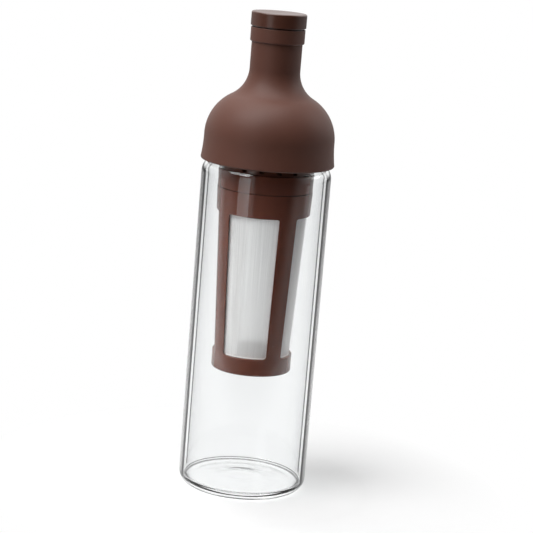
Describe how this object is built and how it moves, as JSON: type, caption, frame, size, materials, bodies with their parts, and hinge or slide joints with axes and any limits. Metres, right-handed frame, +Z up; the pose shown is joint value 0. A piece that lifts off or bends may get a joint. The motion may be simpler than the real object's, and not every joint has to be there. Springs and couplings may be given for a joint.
{
  "type": "cold brew coffee bottle",
  "caption": "Tall glass bottle with a lift-off silicone bell, pouring neck and stopper, and a hanging filter basket with fine mesh windows for steeping coffee or tea cold.",
  "frame": {"origin": "centre of the bottle's underside, on the surface that it stands on", "axes": "+Z up along the bottle's axis, -Y towards the front"},
  "size_m": [0.0828, 0.0828, 0.3001],
  "materials": {
    "glass": "clear, polished heat-resistant glass",
    "silicone": "soft matte brown silicone",
    "filter_plastic": "glossy brown polypropylene",
    "filter_mesh": "fine off-white polyester filter mesh"
  },
  "bodies": {
    "bottle": {"glass_bottle": "glass"},
    "top": {"spout_top": "silicone"},
    "cap": {"stopper": "silicone"},
    "collar": {"filter_collar": "filter_plastic"},
    "basket": {"filter_basket": "filter_plastic", "mesh_front": "filter_mesh", "mesh_right": "filter_mesh", "mesh_rear": "filter_mesh", "mesh_left": "filter_mesh"}
  },
  "joints": [
    {"name": "top_lift", "type": "slide", "parent": "bottle", "child": "top", "axis": [0, 0, 1], "range_m": [0, 0.16]},
    {"name": "stopper_lift", "type": "slide", "parent": "top", "child": "cap", "axis": [0, 0, 1], "range_m": [0, 0.025]},
    {"name": "collar_pull", "type": "slide", "parent": "top", "child": "collar", "axis": [0, 0, -1], "range_m": [0, 0.02]},
    {"name": "basket_twist", "type": "hinge", "parent": "collar", "child": "basket", "pos_m": [0, 0, 0.187], "axis": [0, 0, 1], "range_deg": [0, 30]}
  ]
}
